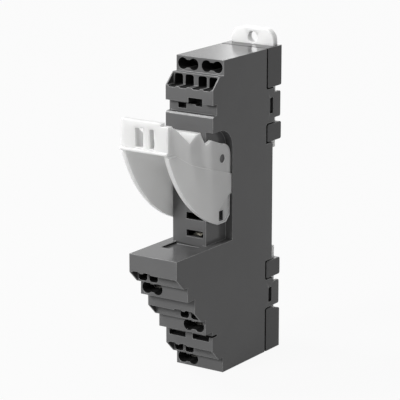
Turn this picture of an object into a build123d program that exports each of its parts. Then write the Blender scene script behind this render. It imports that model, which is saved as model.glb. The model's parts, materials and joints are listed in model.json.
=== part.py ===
from build123d import *
import os

# Slim rail socket for a plug-in relay, in mm.
# X runs across the width, -Y is the terminal front, +Y is the rail side, +Z is up.
# The pieces are drawn from the rear plane and the bottom edge, and build() moves them
# so that the origin lies at the middle of the rail seat.

# Body
body_width = 15.9
lower_height = 38.0
bay_height = 32.45
head_height = 19.55
body_depth = 35.2
lower_reach = 17.7
side_wall = 0.95
front_wall = 1.2

# Wire terminals, each with two round entries and two release openings
wire_margin = 2.2
upper_row_drop = 10.7
row_pitch = 11.7
tier_step = 8.75
wire_inset = 5.35
wire_row_half = 2.1
slope_run = 3.4
slope_rise = 3.3
entry_radius = 1.65
entry_spacing = 3.6
entry_waist = 2.2
entry_length = 5.0
release_start = 0.45
release_notch = 0.4
release_width = 2.8
release_corner = 0.7
skin = 0.45
rib = 0.3

# Chambers behind the entries
bar_offset = 0.75
chamber_height = 7.2
chamber_length = 9.6
partition = 0.8

# Label groove and marker slots
label_lift = 4.65
label_groove_height = 3.1
label_groove_depth = 1.9
label_ledge_chamfer = 0.5
label_slot_depth = 2.0
label_slot_height = 1.4
label_slot_drop = 0.75
label_slot_shift = 1.3
label_slot_width = 4.6
label_step_width = 2.1
label_step_drop = 1.15
label_hole_width = 2.65
label_hole_height = 1.5
label_hole_side = 3.6
label_hole_lift = 0.95
marker_slot_drop = 1.55
marker_slot_height = 1.5
marker_slot_depth = 2.4
marker_slot_width = 5.55
marker_slot_side = 4.0
marker_mouth_width = 2.2
marker_mouth_drop = 1.2
marker_mouth_height = 0.55

# Relay bay, with a pocket at each side for the lever
cheek_pocket = 2.35
pocket_corner = 6.0
slot_width = 5.6
slot_height = 1.9
slot_center = 1.8
slot_pitch = 5.0
contact_slots = 3
first_slot_lift = 3.05
coil_slot_drop = 4.4
coil_slot_side = 3.75
coil_slot_width = 1.9
bay_recess_half = 4.5
bay_recess_length = 7.3
bay_recess_depth = 0.7

# Lever pivot, measured from the bay's top edge and from the body's front face
pivot_drop = 8.15
pivot_inset = 5.5
pin_radius = 1.15
pin_clearance = 0.08
pin_recess = 0.65

# Rail base
base_depth = 7.2
rail_floor = 4.35
rail_gap = 35.5
foot_height = 5.1
groove = 0.35
groove_corner = 0.5
block_corner = 0.6
rear_groove = 0.65
spigot_depth = 1.2
spigot_wall = 0.8
top_block_height = 11.5
bottom_block_height = 11.7
bottom_block_rise = 1.2
tab_gap = 1.6
tab_recess = 3.6
tab_inset = 0.4
tab_corner = 0.6
latch_slot_back = 4.25
latch_slot_width = 1.7
latch_slot_corner = 0.4
latch_slot_margin = 1.45
latch_clearance = 0.1
latch_reach = 0.2
plate_clearance = 0.05
post_width = 1.2
post_height = 3.0

# Rail hooks
hook_half = 6.85
hook_clearance = 0.12
hook_depth = 3.2
hook_thickness = 1.8
hook_rib_half = 5.0
upper_hook_reach = 2.4
lower_hook_reach = 3.6
hook_lead = 0.7
ear_half = 7.1
ear_height = 4.7
ear_thickness = 2.2
ear_corner = 3.5
ear_hole_radius = 1.6
ear_hole_lift = 2.0
puller_width = 6.0
puller_height = 1.6
puller_lift = 1.5

# Metal parts
bar_thickness = 0.6
bar_side_gap = 0.1
strip_width = 3.0
spring_thickness = 0.3
spring_width = 2.3
spring_bend = 0.8
spring_reach = 5.6
spring_end_gap = 0.35
clip_thickness = 0.3
clip_width = 2.6
coil_clip_width = 1.5
clip_length = 3.2
clip_gap = 0.2
clip_half = 0.8
clip_pinch = 0.32
head_riser_reach = 12.0
middle_riser_reach = 11.8
lower_riser_reach = 13.05
riser_gap = 0.1

# Lever, measured from its pivot
lever_reach = 26.9
lever_drop = 18.4
rear_reach = 4.2
rear_clearance = 0.2
heel_step = 1.0
heel_drop = 10.7
heel_corner = 1.7
toe_run = 2.6
curve_bulge = 3.9
bar_top_lift = 13.6
bar_height = 7.7
bar_depth = 2.2
bar_tab_height = 0.8
bar_tab_end = 5.3
bar_lip = 0.7
finger_notch = 6.6
finger_notch_lift = 7.3
tooth_start = 12.7
tooth_end = 10.8
tooth_lift = 9.3
web_thickness = 1.0
stop_notch = 2.8
cheek_gap = 0.2
cheek_thickness = 1.0
cheek_step = 0.35
pad_gap = 0.2
pad_front = 2.9
window_height = 5.3
window_drop = 1.2
window_sides = [(-3.0, -0.25), (1.7, 3.4)]
heel_slot_back = 0.5
heel_slot_width = 2.1
heel_slot_height = 2.9
heel_slot_lift = 0.7
heel_recess_front = 2.3
heel_recess_drop = 14.25
heel_recess_rise = 3.5
heel_recess_rim = 0.45
heel_recess_depth = 0.3
heel_wall = 0.6
heel_pocket_margin = 0.9
# Points of the line above which the cheek steps back: share of the reach, and height
cheek_step_line = [(0.85, 5.1), (0.57, 1.1), (0.38, -0.7)]

# Cuts run past an open face by this much
overrun = 1.0
# Share of a radius that a 45 degree line covers in Y and in Z
diagonal = 0.5 ** 0.5

half_width = body_width / 2
inner_half = half_width - side_wall
column_half = half_width - cheek_pocket
column_inner_half = column_half - side_wall
wire_side = half_width / 2
bay_top = lower_height + bay_height
height = bay_top + head_height
lower_depth = body_depth + lower_reach
end_wall = wire_margin - bar_offset - bar_thickness
pivot_y = pivot_inset - body_depth
pivot_z = bay_top - pivot_drop
pocket_depth = -pivot_y - rear_reach - rear_clearance
spine_depth = pocket_depth - side_wall
body_rear = -base_depth - rear_groove
label_bottom = bay_top + label_lift
label_top = label_bottom + label_groove_height
rail_bottom = (height - rail_gap) / 2
rail_top = (height + rail_gap) / 2
foot_bottom = rail_bottom - foot_height
foot_top = rail_top + foot_height
top_block_bottom = height - top_block_height
clip_back = front_wall + clip_gap + clip_length - body_depth
first_slot = lower_height + first_slot_lift
coil_slot = bay_top - coil_slot_drop
bar_inner_edge = wire_side - entry_spacing / 2 - spring_width / 2
bar_outer_edge = inner_half - bar_side_gap
channel_front = -hook_depth - hook_clearance
channel_back = hook_thickness - hook_depth + hook_clearance
hook_back = hook_thickness - hook_depth

# Each terminal: depth of its front face, height of its wires, side in X, and a direction
# that is 1 where the release openings lie above the wires and -1 where they lie below.
upper_row = lower_height - upper_row_drop
middle_row = upper_row - row_pitch
head_left = (body_depth, height - wire_margin, -1, -1)
head_right = (body_depth, height - wire_margin, 1, -1)
upper_left = (lower_depth, upper_row, -1, 1)
middle_right = (lower_depth - tier_step, middle_row, 1, 1)
lower_left = (lower_depth - 2 * tier_step, wire_margin, -1, 1)
terminals = [head_left, head_right, upper_left, middle_right, lower_left]


def block(x_low, x_high, y_low, y_high, z_low, z_high):
    """A box between two corners."""
    size = (abs(x_high - x_low), abs(y_high - y_low), abs(z_high - z_low))
    middle = ((x_low + x_high) / 2, (y_low + y_high) / 2, (z_low + z_high) / 2)
    return Pos(*middle) * Box(*size)


def side_profile(face, x_low, x_high):
    """A face drawn in Y and Z, thickened along X."""
    return extrude(Plane.YZ.offset(x_low) * face, x_high - x_low)


def side_polygon(points, x_low, x_high):
    """A polygon of Y and Z points, thickened along X."""
    return side_profile(make_face(Polyline(*points, close=True)), x_low, x_high)


def cross_pin(y, z, radius, x_low, x_high):
    """A round bar along X."""
    return side_profile(Pos(y, z) * Circle(radius), x_low, x_high)


def chamber_front(terminal):
    """The Y position where the wire entries open into their chamber."""
    return wire_inset + entry_length - terminal[0]


def level(terminal, distance):
    """The height at a distance from the contact bar's inner face, toward the releases."""
    return terminal[1] + terminal[3] * (distance - bar_offset)


def terminal_side(terminal, near, far):
    """Two X positions on the terminal's own side."""
    return terminal[2] * near, terminal[2] * far


def tier_steps(terminal):
    """Profile points of one tier, from its front face to the end of its wire face."""
    front, wire_height, side, direction = terminal
    slope_end = wire_height + direction * wire_row_half
    return [
        (-front, slope_end + direction * slope_rise),
        (slope_run - front, slope_end),
        (wire_inset - front, slope_end),
        (wire_inset - front, wire_height - direction * wire_margin),
    ]


def body_outline():
    """The stepped side profile of the housing."""
    points = [(body_rear, height)]
    points += reversed(tier_steps(head_left))
    points += [
        (-body_depth, label_top),
        (label_groove_depth - body_depth, label_top),
        (label_groove_depth - body_depth, label_bottom),
        (label_ledge_chamfer - body_depth, label_bottom),
        (-body_depth, label_bottom - label_ledge_chamfer),
        (-body_depth, lower_height),
        (-lower_depth, lower_height),
    ]
    for terminal in (upper_left, middle_right):
        points += tier_steps(terminal)
        points.append((tier_step - terminal[0], terminal[1] - wire_margin))
    points += tier_steps(lower_left)
    points.append((body_rear, 0))
    return points


def pocket_cut(side):
    """The pocket beside the relay bay that takes one cheek of the lever."""
    front = -lower_depth
    corner = pocket_corner * (1 - diagonal)
    arc = ThreePointArc(
        (-pocket_depth, bay_top - pocket_corner),
        (-pocket_depth - corner, bay_top - corner),
        (-pocket_depth - pocket_corner, bay_top),
    )
    path = Polyline(
        (-pocket_depth - pocket_corner, bay_top),
        (front, bay_top),
        (front, lower_height),
        (-pocket_depth, lower_height),
        (-pocket_depth, bay_top - pocket_corner),
    )
    face = make_face([arc, path])
    inner, outer = sorted((side * column_half, side * body_width))
    return side_profile(face, inner, outer)


def chamber_cut(terminal):
    """The room behind one pair of wire entries, open to the hollow at the rear."""
    near, far = terminal_side(terminal, partition / 2, inner_half)
    return block(
        near, far, chamber_front(terminal), -spine_depth,
        level(terminal, -bar_thickness), level(terminal, chamber_height),
    )


def entry_cut(terminal):
    """Two joined round wire entries."""
    front, wire_height, side, direction = terminal
    pair = Rectangle(entry_spacing, entry_waist)
    for step in (-1, 1):
        pair += Pos(step * entry_spacing / 2, 0) * Circle(entry_radius)
    start = chamber_front(terminal)
    plane = Plane(origin=(side * wire_side, start, wire_height), x_dir=(1, 0, 0), z_dir=(0, -1, 0))
    return extrude(plane * pair, entry_length + wire_inset)


def release_cuts(terminal):
    """Two openings above or below the entries, which notch the edge of the front face."""
    front, wire_height, side, direction = terminal
    near = wire_height + direction * (wire_row_half + release_start)
    far = wire_height + direction * (wire_row_half + slope_rise + release_notch)
    opening = RectangleRounded(release_width, abs(far - near), release_corner)
    start = chamber_front(terminal)
    cuts = []
    for step in (-1, 1):
        middle = side * wire_side + step * entry_spacing / 2
        plane = Plane(
            origin=(middle, start, (near + far) / 2), x_dir=(1, 0, 0), z_dir=(0, -1, 0),
        )
        cuts.append(extrude(plane * opening, start + front))
    return cuts


def slope_cut(terminal):
    """The recess before the release openings, between two thin sloping side skins."""
    front, wire_height, side, direction = terminal
    low = wire_height + direction * wire_row_half
    high = low + direction * slope_rise
    return block(skin - half_width, half_width - skin, -front, slope_run - front, low, high)


def blade_slots():
    """The slots in the bay floor for the relay's contact and coil blades."""
    cuts = []
    for row in range(contact_slots):
        middle = first_slot + row * slot_pitch
        cuts.append(block(
            slot_center - slot_width / 2, slot_center + slot_width / 2,
            -body_depth - overrun, front_wall - body_depth,
            middle - slot_height / 2, middle + slot_height / 2,
        ))
    for side in (-1, 1):
        middle = side * coil_slot_side
        cuts.append(block(
            middle - coil_slot_width / 2, middle + coil_slot_width / 2,
            -body_depth - overrun, front_wall - body_depth,
            coil_slot - slot_height / 2, coil_slot + slot_height / 2,
        ))
    return cuts


def marker_cuts():
    """Slots that hold label and marker tags."""
    front = -lower_left[0]
    tier_bottom = middle_row - wire_margin
    high = tier_bottom - marker_slot_drop
    back = front + marker_slot_depth
    mouth_high = tier_bottom - marker_mouth_drop
    cuts = [block(
        half_width - marker_mouth_width, half_width, front, back,
        mouth_high - marker_mouth_height, mouth_high,
    )]
    for side in (-1, 1):
        middle = side * marker_slot_side
        cuts.append(block(
            middle - marker_slot_width / 2, middle + marker_slot_width / 2, front, back,
            high - marker_slot_height, high,
        ))
    label_back = label_groove_depth + label_slot_depth - body_depth
    groove_back = label_groove_depth - body_depth
    slot_right = label_slot_width - rib
    hole_low = label_bottom + label_hole_lift
    cuts += [
        block(-rib, slot_right, -body_depth, label_back, label_top, label_top + label_slot_height),
        block(-rib - label_slot_shift, slot_right - label_slot_shift, groove_back, label_back,
              label_top - label_slot_drop, label_top),
        block(slot_right - label_step_width - label_slot_shift, slot_right - label_slot_shift,
              groove_back, label_back, label_top - label_step_drop, label_top),
        block(-label_hole_side - label_hole_width / 2, -label_hole_side + label_hole_width / 2,
              groove_back, label_back, hole_low, hole_low + label_hole_height),
    ]
    return cuts


def hollow_cuts():
    """The hollow that takes the metal parts, open at the rear."""
    spine = block(-inner_half, inner_half, -spine_depth, body_rear, end_wall, height - end_wall)
    column = block(
        -column_inner_half, column_inner_half, front_wall - body_depth, -spine_depth,
        lower_height + front_wall, bay_top - front_wall,
    )
    duct = block(
        -column_inner_half, column_inner_half, clip_back - bar_thickness, -spine_depth,
        level(upper_left, 0), lower_height + front_wall,
    )
    return [spine, column, duct]


def shelves():
    """Shelves and partitions that carry the springs of the head and lower terminals."""
    solids = []
    for terminal in (head_left, head_right, lower_left):
        start = chamber_front(terminal)
        near, far = terminal_side(terminal, 0, inner_half)
        solids.append(block(
            near, far, start, start + chamber_length,
            level(terminal, chamber_height), level(terminal, chamber_height + partition),
        ))
        solids.append(block(
            -partition / 2, partition / 2, start, start + chamber_length,
            level(terminal, -bar_thickness), level(terminal, chamber_height + partition),
        ))
    return solids


def tab_wall(low, high, low_rise):
    """The side wall's rear part between two base blocks, with its latch tab."""
    wall_low = low + low_rise + groove
    wall_high = high - groove
    outline = [
        (body_rear, wall_low - groove_corner),
        (body_rear + groove_corner, wall_low),
        (-tab_recess, wall_low),
        (-tab_recess, low + tab_gap),
        (-tab_inset, low + tab_gap),
        (-tab_inset, high - tab_gap),
        (-tab_recess, high - tab_gap),
        (-tab_recess, wall_high),
        (body_rear + groove_corner, wall_high),
        (body_rear, wall_high + groove_corner),
    ]
    wall = make_face(Polyline(*outline, close=True))
    return fillet(wall.vertices().group_by(Axis.X)[-1], tab_corner)


def latch_window(low, high, depth_margin, x_low, x_high):
    """The space of a latch slot, or of the nose inside it where a margin is given."""
    slot_low = low + tab_gap + latch_slot_margin + depth_margin
    slot_high = high - tab_gap - latch_slot_margin - depth_margin
    outline = RectangleRounded(
        latch_slot_width - 2 * depth_margin, slot_high - slot_low, latch_slot_corner - depth_margin,
    )
    middle = Pos(-latch_slot_back - latch_slot_width / 2, (slot_low + slot_high) / 2)
    return side_profile(middle * outline, x_low, x_high)


def rear_walls():
    """Rear parts of both side walls, with latch tabs around the base."""
    zones = [(foot_top, top_block_bottom, 0), (bottom_block_height, foot_bottom, bottom_block_rise)]
    solids = []
    for side in (-1, 1):
        near, far = sorted((side * inner_half, side * half_width))
        for low, high, rise in zones:
            wall = side_profile(tab_wall(low, high, rise), near, far)
            solids.append(wall - latch_window(low, high, 0, near, far))
        solids.append(block(
            near, far, body_rear, -rail_floor, rail_bottom + groove, rail_top - groove,
        ))
    return solids


def housing():
    """The moulded main body."""
    body = side_polygon(body_outline(), -half_width, half_width)
    for side in (-1, 1):
        body -= pocket_cut(side)
    body -= hollow_cuts()
    for terminal in terminals:
        body -= chamber_cut(terminal)
    body += shelves()
    for terminal in terminals:
        body -= entry_cut(terminal)
        body -= slope_cut(terminal)
        body -= release_cuts(terminal)
    body -= blade_slots()
    body -= marker_cuts()
    body -= block(
        -bay_recess_half, bay_recess_half, -body_depth - bay_recess_length, -body_depth,
        lower_height - bay_recess_depth, lower_height,
    )
    body += rear_walls()
    for side in (-1, 1):
        near, far = sorted((side * column_half, side * (half_width - cheek_gap - pin_recess)))
        body += cross_pin(pivot_y, pivot_z, pin_radius, near, far)
    return body


def base_blocks():
    """The four full-width blocks that stand on the mounting surface and frame the rail."""
    slope_start = -tab_recess - bottom_block_rise
    zones = [(rail_top, foot_top), (foot_bottom, rail_bottom)]
    sections = [
        Pos(-base_depth / 2, (low + high) / 2)
        * RectangleRounded(base_depth, high - low, block_corner)
        for low, high in zones
    ]
    bottom = make_face(Polyline(
        (-base_depth, 0), (0, 0), (0, bottom_block_height),
        (slope_start, bottom_block_height + bottom_block_rise),
        (-base_depth, bottom_block_height + bottom_block_rise),
        close=True,
    ))
    sections.append(fillet(bottom.vertices().group_by(Axis.Y)[1:], block_corner))
    top = Pos(-base_depth / 2, (top_block_bottom + height) / 2)
    top *= Rectangle(base_depth, top_block_height)
    sections.append(fillet(top.vertices().group_by(Axis.Y)[0], block_corner))
    return [side_profile(section, -half_width, half_width) for section in sections]


def base_posts():
    """Posts that press the risers of the contact bars forward."""
    head_riser = riser_back(head_left, head_riser_reach)
    middle_riser = riser_back(middle_right, middle_riser_reach)
    lower_riser = riser_back(lower_left, lower_riser_reach)
    places = [
        (-coil_slot_side, top_block_bottom, head_riser),
        (coil_slot_side, top_block_bottom, head_riser),
        (-wire_side, foot_bottom, lower_riser),
        (-wire_side, height / 2, lower_riser),
        (slot_center + clip_width / 2, rail_bottom, middle_riser),
    ]
    posts = []
    for x, z, reach in places:
        posts.append(block(
            x - post_width / 2, x + post_width / 2, reach, -base_depth,
            z - post_height, z,
        ))
    return posts


def spigot(half, low, high):
    """The rim of the base that fits inside the housing's walls."""
    front = -base_depth - spigot_depth
    rim = block(-half, half, front, -base_depth, low, high)
    return rim - block(
        spigot_wall - half, half - spigot_wall, front, -base_depth,
        low + spigot_wall, high - spigot_wall,
    )


def rail_base():
    """The rear base that closes the housing and carries the rail feet."""
    plate_half = inner_half - plate_clearance
    plate_low = end_wall + plate_clearance
    plate_high = height - end_wall - plate_clearance
    base = block(-plate_half, plate_half, -base_depth, -rail_floor, plate_low, plate_high)
    base += block(-plate_half, plate_half, -base_depth, channel_front, plate_low, rail_bottom)
    base += block(-plate_half, plate_half, -base_depth, channel_front, rail_top, plate_high)
    base += base_blocks()
    base += spigot(plate_half, plate_low, plate_high)
    channel_half = hook_half + hook_clearance
    rib_half = hook_rib_half + hook_clearance
    base -= block(-channel_half, channel_half, channel_front, channel_back, 0, height)
    base -= block(-rib_half, rib_half, channel_front, 0, 0, height)
    base += base_posts()
    for side in (-1, 1):
        near, far = sorted((side * (plate_half - rib), side * (plate_half + latch_reach)))
        for low, high in ((foot_top, top_block_bottom), (bottom_block_height, foot_bottom)):
            base += latch_window(low, high, latch_clearance, near, far)
    return base


def hook_plate(low, high, rib_low, rib_high):
    """The flat sliding plate of a rail hook with its rear rib."""
    plate = block(-hook_half, hook_half, -hook_depth, hook_back, low, high)
    plate += block(-hook_rib_half, hook_rib_half, -hook_depth, 0, rib_low, rib_high)
    return plate


def upper_rail_hook():
    """The upper hook slider, which ends in a screw ear above the body."""
    low = rail_top - upper_hook_reach
    slider = hook_plate(low, height, rail_top, height)
    slider -= side_polygon(
        [(-hook_depth, low), (hook_lead - hook_depth, low), (-hook_depth, low + hook_lead)],
        -hook_half, hook_half,
    )
    ear = Pos(0, ear_height / 2) * Rectangle(2 * ear_half, ear_height)
    ear = fillet(ear.vertices().group_by(Axis.Y)[-1], ear_corner)
    ear -= Pos(0, ear_hole_lift) * Circle(ear_hole_radius)
    plane = Plane(
        origin=(0, ear_thickness - hook_depth, height), x_dir=(1, 0, 0), z_dir=(0, -1, 0),
    )
    slider += extrude(plane * ear, ear_thickness)
    return slider


def lower_rail_hook():
    """The lower hook slider, with a slot by which a screwdriver pulls it down."""
    high = rail_bottom + lower_hook_reach
    slider = hook_plate(0, high, 0, rail_bottom)
    slider -= side_polygon(
        [(-hook_depth, high), (hook_lead - hook_depth, high), (-hook_depth, high - hook_lead)],
        -hook_half, hook_half,
    )
    slider -= block(
        -puller_width / 2, puller_width / 2, -hook_depth, 0,
        puller_lift, puller_lift + puller_height,
    )
    return slider


def riser_back(terminal, reach):
    """The Y position of a riser's rear face, clear of the springs and of the hollow's wall."""
    return max(chamber_front(terminal) + reach, riser_gap + bar_thickness - spine_depth)


def bar_flat(terminal, back):
    """The part of a contact bar on which both wires of a terminal are pressed."""
    near, far = terminal_side(terminal, bar_inner_edge, bar_outer_edge)
    return block(
        near, far, chamber_front(terminal), back,
        level(terminal, -bar_thickness), level(terminal, 0),
    )


def coil_bar(terminal):
    """The contact bar from a head terminal down to its coil blade."""
    back = riser_back(terminal, head_riser_reach)
    near, far = terminal_side(
        terminal, coil_slot_side - coil_clip_width / 2, coil_slot_side + coil_clip_width / 2,
    )
    bar = bar_flat(terminal, back)
    bar += block(
        near, far, back - bar_thickness, back,
        coil_slot - bar_thickness / 2, level(terminal, -bar_thickness),
    )
    bar += block(
        near, far, clip_back, back, coil_slot - bar_thickness / 2, coil_slot + bar_thickness / 2,
    )
    return bar


def upper_bar():
    """The contact bar from the upper left terminal to the lowest contact blade."""
    front = clip_back
    back = clip_back + bar_thickness
    low = level(upper_left, -bar_thickness)
    turn = first_slot - strip_width / 2
    bar = bar_flat(upper_left, back)
    bar += block(-wire_side, strip_width - wire_side, front, back, low, turn + strip_width)
    bar += block(
        -wire_side, slot_center + clip_width / 2, front, back, turn, turn + strip_width,
    )
    return bar


def middle_bar():
    """The contact bar from the middle right terminal to the middle contact blade."""
    back = riser_back(middle_right, middle_riser_reach)
    blade = first_slot + slot_pitch
    left = slot_center - clip_width / 2
    right = slot_center + clip_width / 2
    bar = bar_flat(middle_right, back)
    bar += block(
        bar_inner_edge, bar_inner_edge + strip_width, back - bar_thickness, back,
        level(middle_right, -bar_thickness), blade + bar_thickness / 2,
    )
    bar += block(left, right, clip_back, back, blade - bar_thickness / 2, blade + bar_thickness / 2)
    return bar


def lower_bar():
    """The contact bar from the lower left terminal to the highest contact blade."""
    back = riser_back(lower_left, lower_riser_reach)
    turn = riser_back(middle_right, middle_riser_reach)
    blade = first_slot + 2 * slot_pitch
    left = -wire_side - strip_width / 2
    right = strip_width / 2 - wire_side
    bar = bar_flat(lower_left, back)
    bar += block(
        left, right, back - bar_thickness, back,
        level(lower_left, -bar_thickness), blade + bar_thickness / 2,
    )
    tongue = Polyline(
        (left, back),
        (right, back),
        (slot_center + clip_width / 2, turn),
        (slot_center + clip_width / 2, clip_back),
        (slot_center - clip_width / 2, clip_back),
        (slot_center - clip_width / 2, -spine_depth),
        (left, back - strip_width),
        close=True,
    )
    plane = Plane.XY.offset(blade - bar_thickness / 2)
    bar += extrude(plane * make_face(tongue), bar_thickness)
    return bar


def clamp_spring(terminal, step):
    """A bent leaf whose free end presses one wire onto the contact bar."""
    start = chamber_front(terminal)
    rest = chamber_height - spring_thickness / 2
    line = FilletPolyline(
        (start + chamber_length - spring_end_gap, level(terminal, rest)),
        (start + spring_end_gap, level(terminal, rest)),
        (start + spring_reach, level(terminal, spring_end_gap)),
        radius=spring_bend,
    )
    leaf = trace(line, line_width=spring_thickness)
    middle = terminal[2] * wire_side + step * entry_spacing / 2
    return side_profile(leaf, middle - spring_width / 2, middle + spring_width / 2)


def blade_clip(x, z, width):
    """A double leaf that grips one blade of the relay."""
    back = clip_back - clip_thickness / 2
    front = clip_back - clip_length
    pinch = front + clip_length / 3
    waist = front + clip_length * 2 / 3
    line = Polyline(
        (front, z + clip_half),
        (pinch, z + clip_pinch),
        (waist, z + clip_half),
        (back, z + clip_half),
        (back, z - clip_half),
        (waist, z - clip_half),
        (pinch, z - clip_pinch),
        (front, z - clip_half),
    )
    leaf = trace(line, line_width=clip_thickness)
    return side_profile(leaf, x - width / 2, x + width / 2)


def cheek_face():
    """The side outline of the lever, drawn in Y and Z around the pivot."""
    toe = (-toe_run, -lever_drop)
    chin = (-lever_reach, bar_top_lift - bar_height)
    span = ((chin[0] - toe[0]) ** 2 + (chin[1] - toe[1]) ** 2) ** 0.5
    bulge_y = (toe[0] + chin[0]) / 2 - curve_bulge * (chin[1] - toe[1]) / span
    bulge_z = (toe[1] + chin[1]) / 2 + curve_bulge * (chin[0] - toe[0]) / span
    curve = ThreePointArc(toe, (bulge_y, bulge_z), chin)
    slant = rear_reach * diagonal
    shoulder = ThreePointArc((0, rear_reach), (slant, slant), (rear_reach, 0))
    top = Polyline(
        chin,
        (-lever_reach, bar_top_lift),
        (-tooth_start - 2 * finger_notch + 3 * web_thickness, bar_top_lift - web_thickness),
        (-tooth_start - finger_notch / 2, finger_notch_lift),
        (-tooth_start, tooth_lift),
        (-tooth_end, tooth_lift),
        (-pivot_inset - stop_notch - 2 * web_thickness, pivot_drop),
        (-pivot_inset - stop_notch, pivot_drop - stop_notch),
        (-pivot_inset, pivot_drop - 2 * web_thickness),
        (0, rear_reach),
    )
    rear = Polyline(
        (rear_reach, 0),
        (rear_reach, -heel_drop),
        (rear_reach - heel_step, -heel_drop),
        (rear_reach - heel_step, heel_corner - lever_drop),
        (rear_reach - heel_step - heel_corner, -lever_drop),
        toe,
    )
    return make_face([curve, top, shoulder, rear])


def lever_web():
    """The crosswise tooth that joins both cheeks above the relay."""
    return [
        (-tooth_start - finger_notch / 2, finger_notch_lift),
        (-tooth_start, tooth_lift),
        (-tooth_end, tooth_lift),
        (-tooth_end, tooth_lift - web_thickness),
        (-tooth_start, tooth_lift - web_thickness),
        (-tooth_start - finger_notch / 2, finger_notch_lift - web_thickness),
    ]


def lever_bar():
    """The finger bar across the front, with two windows, a raised tab and a lip."""
    outer = half_width - cheek_gap
    back = bar_depth - lever_reach
    low = bar_top_lift - bar_height
    bar = block(-outer, outer, -lever_reach, back, low, bar_top_lift)
    bar += block(-outer, bar_tab_end, -lever_reach, back, low, bar_top_lift + bar_tab_height)
    bar += block(-outer, outer, -lever_reach - bar_lip, back, low, low + bar_lip)
    high = bar_top_lift - window_drop
    for left, right in window_sides:
        bar -= block(left, right, -lever_reach - bar_lip, back, high - window_height, high)
    return bar


def upper_cheek():
    """The upper part of the cheek's face, above the line where it steps back."""
    front = -lever_reach - overrun
    rear = rear_reach + overrun
    outline = [
        (front, bar_top_lift),
        (front, cheek_step_line[0][1]),
        *[(-share * lever_reach, lift) for share, lift in cheek_step_line],
        (rear, -heel_drop / 2),
        (rear, bar_top_lift),
    ]
    return make_face(Polyline(*outline, close=True))


def heel_recess():
    """The shallow recess around the slot in the heel, drawn in Y and Z around the pivot."""
    rear = rear_reach - heel_step - heel_recess_rim
    low = heel_recess_rim - lever_drop
    return make_face(Polyline(
        (-heel_recess_front, low),
        (rear - heel_corner, low),
        (rear, low + heel_corner),
        (rear, heel_recess_rise - heel_recess_drop),
        (-heel_recess_front, -heel_recess_drop),
        close=True,
    ))


def release_lever():
    """The lever that holds the relay in and pushes it out when it is swung up."""
    outer = half_width - cheek_gap
    middle = outer - cheek_step
    inner = middle - cheek_thickness
    pad_inner = column_half + pad_gap
    face = cheek_face()
    lower = face - upper_cheek()
    lever = lever_bar()
    for side in (-1, 1):
        near, far = sorted((side * inner, side * middle))
        cheek = side_profile(face, near, far)
        near, far = sorted((side * pad_inner, side * middle))
        cheek += side_profile(face, near, far) & block(
            near, far, -pad_front, rear_reach, -lever_drop, rear_reach,
        )
        near, far = sorted((side * middle, side * outer))
        cheek += side_profile(lower, near, far)
        near, far = sorted((side * (outer - heel_recess_depth), side * half_width))
        cheek -= side_profile(heel_recess(), near, far)
        lever += cheek
    lever += side_polygon(lever_web(), -inner, inner)
    lever -= cross_pin(0, 0, pin_radius + pin_clearance, -half_width, half_width)
    slot_low = heel_slot_lift - lever_drop
    slot_front = heel_slot_back - heel_slot_width
    slot_high = slot_low + heel_slot_height
    lever -= block(-half_width, half_width, slot_front, heel_slot_back, slot_low, slot_high)
    pocket_half = outer - heel_recess_depth - heel_wall
    lever -= block(
        -pocket_half, pocket_half, slot_front, heel_slot_back + heel_pocket_margin,
        slot_low, slot_high + heel_pocket_margin,
    )
    return Pos(0, pivot_y, pivot_z) * lever


def build():
    """Every node of the part, by name."""
    nodes = {
        "housing": housing(),
        "rail_base": rail_base(),
        "release_lever": release_lever(),
        "upper_rail_hook": upper_rail_hook(),
        "lower_rail_hook": lower_rail_hook(),
        "left_coil_bar": coil_bar(head_left),
        "right_coil_bar": coil_bar(head_right),
        "upper_contact_bar": upper_bar(),
        "middle_contact_bar": middle_bar(),
        "lower_contact_bar": lower_bar(),
        "left_coil_clip": blade_clip(-coil_slot_side, coil_slot, coil_clip_width),
        "right_coil_clip": blade_clip(coil_slot_side, coil_slot, coil_clip_width),
        "low_blade_clip": blade_clip(slot_center, first_slot, clip_width),
        "middle_blade_clip": blade_clip(slot_center, first_slot + slot_pitch, clip_width),
        "high_blade_clip": blade_clip(slot_center, first_slot + 2 * slot_pitch, clip_width),
    }
    names = ["head_left", "head_right", "upper", "middle", "lower"]
    for name, terminal in zip(names, terminals):
        nodes[name + "_outer_spring"] = clamp_spring(terminal, terminal[2])
        nodes[name + "_inner_spring"] = clamp_spring(terminal, -terminal[2])
    to_rail_seat = Pos(0, rail_floor, -height / 2)
    return {name: to_rail_seat * solid for name, solid in nodes.items()}


os.makedirs("parts", exist_ok=True)
for name, solid in build().items():
    solid.label = name
    export_step(solid, "parts/" + name + ".step")
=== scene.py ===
"""Visual model of a slim rail socket for a plug-in relay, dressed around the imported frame."""
import json
import logging
import math
from dataclasses import dataclass
from enum import Enum

import bmesh
import bpy
from mathutils import Matrix, Vector
from mathutils.bvhtree import BVHTree
from mathutils.geometry import intersect_line_line_2d
from mathutils.kdtree import KDTree


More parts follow.
